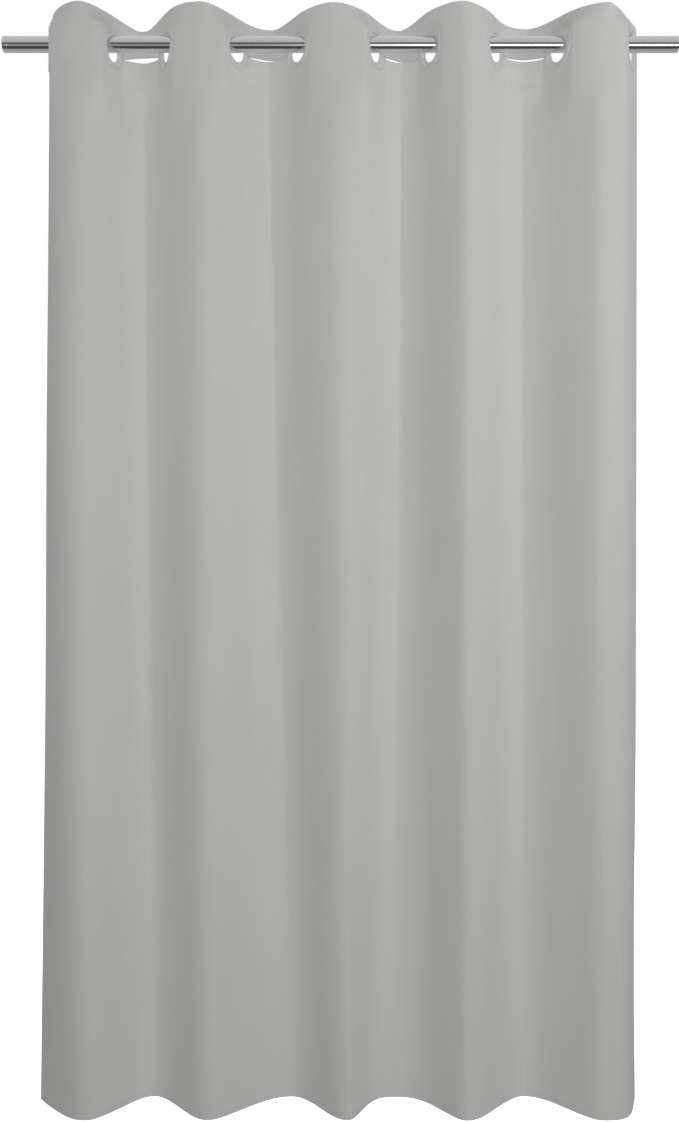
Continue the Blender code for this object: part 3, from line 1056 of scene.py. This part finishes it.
def seamRuns(fold):
    # the lines of stitching on one piece of cloth, as flat points
    first, last = foldColumns(fold)
    s = columns[first:last + 1]
    runs = []
    proud = stitch["thickness"] * stitch["proud"]
    for height in seamHeights:
        front = frontOffset(s, np.array(height)) + proud
        back = backOffset(s, np.array(height)) - proud
        for offsets in (front, back):
            runs.append(np.column_stack((s, -offsets, np.full(len(s), height))))
    sides = []
    if fold == 0:
        sides.append(seamEdge)
    if fold == foldCount - 1:
        sides.append(clothWidth - seamEdge)
    z = rows[(rows > hemTop + 0.001) & (rows < headingLow - 0.001)]
    for edge in sides:
        front = frontOffset(np.array(edge), z) + proud
        back = backOffset(np.array(edge), z) - proud
        for offsets in (front, back):
            runs.append(np.column_stack((np.full(len(z), edge), -offsets, z)))
    return runs


def makeStitches():
    tree, socket = stitchTree()
    values = {
        socket["Pitch"]: stitch["pitch"],
        socket["Length"]: stitch["length"],
        socket["Thickness"]: stitch["thickness"],
        socket["Turn By"]: stitch["turnBy"],
        socket["Finish"]: threadFinish,
    }
    made = []
    for fold in range(foldCount):
        points, edges = [], []
        for run in seamRuns(fold):
            start = len(points)
            points += hungPlace(run).tolist()
            edges += [(i, i + 1) for i in range(start, len(points) - 1)]
        mesh = bpy.data.meshes.new(f"stitches{fold + 1}")
        mesh.from_pydata(points, edges, [])
        thing = linkMesh(f"stitches{fold + 1}", mesh, threadFinish)
        growFrom(thing, tree, {**values, socket["Seed"]: stitch["seed"] + fold})
        made.append(thing)
    print(f"stitches sewn: {sum(len(thing.data.polygons) for thing in made)} faces")
    return made


stitchRuns = makeStitches()


eyelet = {
    "bore": 0.0215,
    "wall": 0.0030,
    "flange": 0.0115,
    "frontHeight": 0.0015,
    "backHeight": 0.0014,
    "seat": 0.0016,
    "gap": 0.0003,
    "opening": 0.0022,           # gap that the rod is passed through
    "segments": 72,
    "sharpAngle": 32,
    "frontRimDrop": 0.0011,      # the flange is lower at its rim than at its crown
    "frontSlope": 0.0040,
    "throatLip": 0.0008,
    "barrelLead": 0.0016,        # widening of the bore at the barrel's end
    "backRimDrop": 0.0010,
    "backSlope": 0.0035,
    # how far each corner of the two outlines is cut back and rounded
    "frontRounds": (0, 0.0003, 0.0014, 0.0012, 0.0005, 0.0005, 0.0004, 0, 0),
    "backRounds": (0, 0, 0.0003, 0.0010, 0.0004),
}


def roundedProfile(points, rounds):
    # soften the corners of a closed outline; rounds gives each corner's cut-back length
    outline = []
    count = len(points)
    for i, corner in enumerate(points):
        cut = rounds[i]
        here = Vector(corner)
        if cut == 0:
            outline.append(here)
            continue
        before, after = (
            here.lerp(other, cut / (other - here).length)
            for other in (Vector(points[i - 1]), Vector(points[(i + 1) % count]))
        )
        for t in (0, 0.25, 0.5, 0.75, 1):
            outline.append(before * (1 - t) ** 2 + here * 2 * t * (1 - t) + after * t ** 2)
    return outline


def frontProfile():
    bore, barrel = eyelet["bore"], eyelet["bore"] + eyelet["wall"]
    rim = eyelet["bore"] + eyelet["flange"]
    crown = eyelet["seat"] + eyelet["frontHeight"]
    end = -(eyelet["seat"] + eyelet["backHeight"])
    lip = eyelet["throatLip"]
    points = [
        (rim, eyelet["seat"]), (rim, crown - eyelet["frontRimDrop"]),
        (rim - eyelet["frontSlope"], crown), (barrel + lip, crown), (bore, lip), (bore, -lip),
        (bore + eyelet["barrelLead"], end), (barrel, end), (barrel, eyelet["seat"]),
    ]
    return roundedProfile(points, eyelet["frontRounds"])


def backProfile():
    inner = eyelet["bore"] + eyelet["wall"] + eyelet["gap"]
    rim = eyelet["bore"] + eyelet["flange"]
    seat = -eyelet["seat"]
    crown = seat - eyelet["backHeight"]
    points = [
        (inner, seat), (rim, seat), (rim, crown + eyelet["backRimDrop"]),
        (rim - eyelet["backSlope"], crown), (inner, crown),
    ]
    return roundedProfile(points, eyelet["backRounds"])


def eyeletTree():
    tree, sockets = newTree("eyeletHalf", (
        ("Radius", "Float"), ("Opening Angle", "Float"), ("Opening Turn", "Float"),
        ("Split", "Bool"), ("Segments", "Int"), ("Turn", "Vector"), ("Place", "Vector"),
        ("Finish", "Material"),
    ))
    calc = mathMaker(tree.nodes, tree.links)
    given = tree.nodes.new("NodeGroupInput").outputs
    circle = {"Resolution": given["Segments"], "Radius": given["Radius"]}
    ring = addNode(tree, "GeometryNodeCurvePrimitiveCircle", circle)
    half = calc("MULTIPLY", given["Opening Angle"], 0.5)
    arc = addNode(tree, "GeometryNodeCurveArc", {
        **circle,
        "Start Angle": calc("ADD", given["Opening Turn"], half),
        "Sweep Angle": calc("SUBTRACT", 2 * math.pi, given["Opening Angle"]),
    })
    inputs = {"Switch": given["Split"], "False": ring, "True": arc}
    path = addNode(tree, "GeometryNodeSwitch", inputs, input_type="GEOMETRY")
    level = addNode(tree, "GeometryNodeSetCurveNormal", {"Curve": path}, mode="Z_UP")
    section = addNode(tree, "GeometryNodeMeshToCurve", {"Mesh": given["Geometry"]})
    inputs = {"Curve": level, "Profile Curve": section, "Fill Caps": True}
    sweep = addNode(tree, "GeometryNodeCurveToMesh", inputs)
    spin = addNode(tree, "FunctionNodeEulerToRotation", {"Euler": given["Turn"]})
    inputs = {"Geometry": sweep, "Translation": given["Place"], "Rotation": spin}
    placed = addNode(tree, "GeometryNodeTransform", inputs)
    real = addNode(tree, "GeometryNodeRealizeInstances", {"Geometry": placed})
    paintResult(tree, real, given["Finish"])
    return tree, sockets


def makeEyelets():
    tree, socket = eyeletTree()
    made = []
    for i in range(eyeletCount):
        sign = -1 if i % 2 == 0 else 1
        lean = sign * math.radians(heading["flankAngles"][i])
        split = 0 < i < eyeletCount - 1
        towards = 0.0 if i % 2 == 1 else math.pi
        for label, node, outline in (
            ("eyeletFront", "eyelet_front", frontProfile()),
            ("eyeletBack", "eyelet_back", backProfile()),
        ):
            centre = sum(point[0] for point in outline) / len(outline)
            # the sweep's own x runs inwards, and its y along the eyelet's axis
            points = [(centre - point[0], point[1], 0) for point in outline]
            count = len(points)
            mesh = bpy.data.meshes.new("profile")
            mesh.from_pydata(points, [(a, (a + 1) % count) for a in range(count)], [])
            name = f"{label}{i + 1}"
            thing = linkMesh(name, mesh, plasticFinish)
            growFrom(thing, tree, {
                socket["Radius"]: centre,
                socket["Opening Angle"]: 2 * math.asin(eyelet["opening"] / 2 / centre),
                socket["Opening Turn"]: towards,
                socket["Split"]: split,
                socket["Segments"]: eyelet["segments"],
                socket["Turn"]: (math.pi / 2, 0.0, lean),
                socket["Place"]: (eyeletX[i], 0.0, eyeletZ),
                socket["Finish"]: plasticFinish,
            })
            smoothMesh(thing.data, eyelet["sharpAngle"])
            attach(thing, f"flank_{i + 1:02d}")
            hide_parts(f"{node}_{i + 1:02d}")
            made.append(thing)
    print(f"eyelets made: {len(made)} halves")
    return made


eyelets = makeEyelets()


def fitCloth():
    for fold, (piece, seams) in enumerate(zip(clothFolds, stitchRuns)):
        start, end = bendRange(fold)
        for thing in (piece, seams):
            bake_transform(thing)
            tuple(start)
            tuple(end)
        numbers = [fold + 1] + ([fold + 2] if fold == foldCount - 1 else [])
        for number in numbers:
            layers = ("cloth_flank", "cloth_heading", "heading_tape")
            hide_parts(*[f"{layer}_{number:02d}" for layer in layers])
    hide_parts("side_hem_left")
    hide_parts("side_hem_right")


fitCloth()
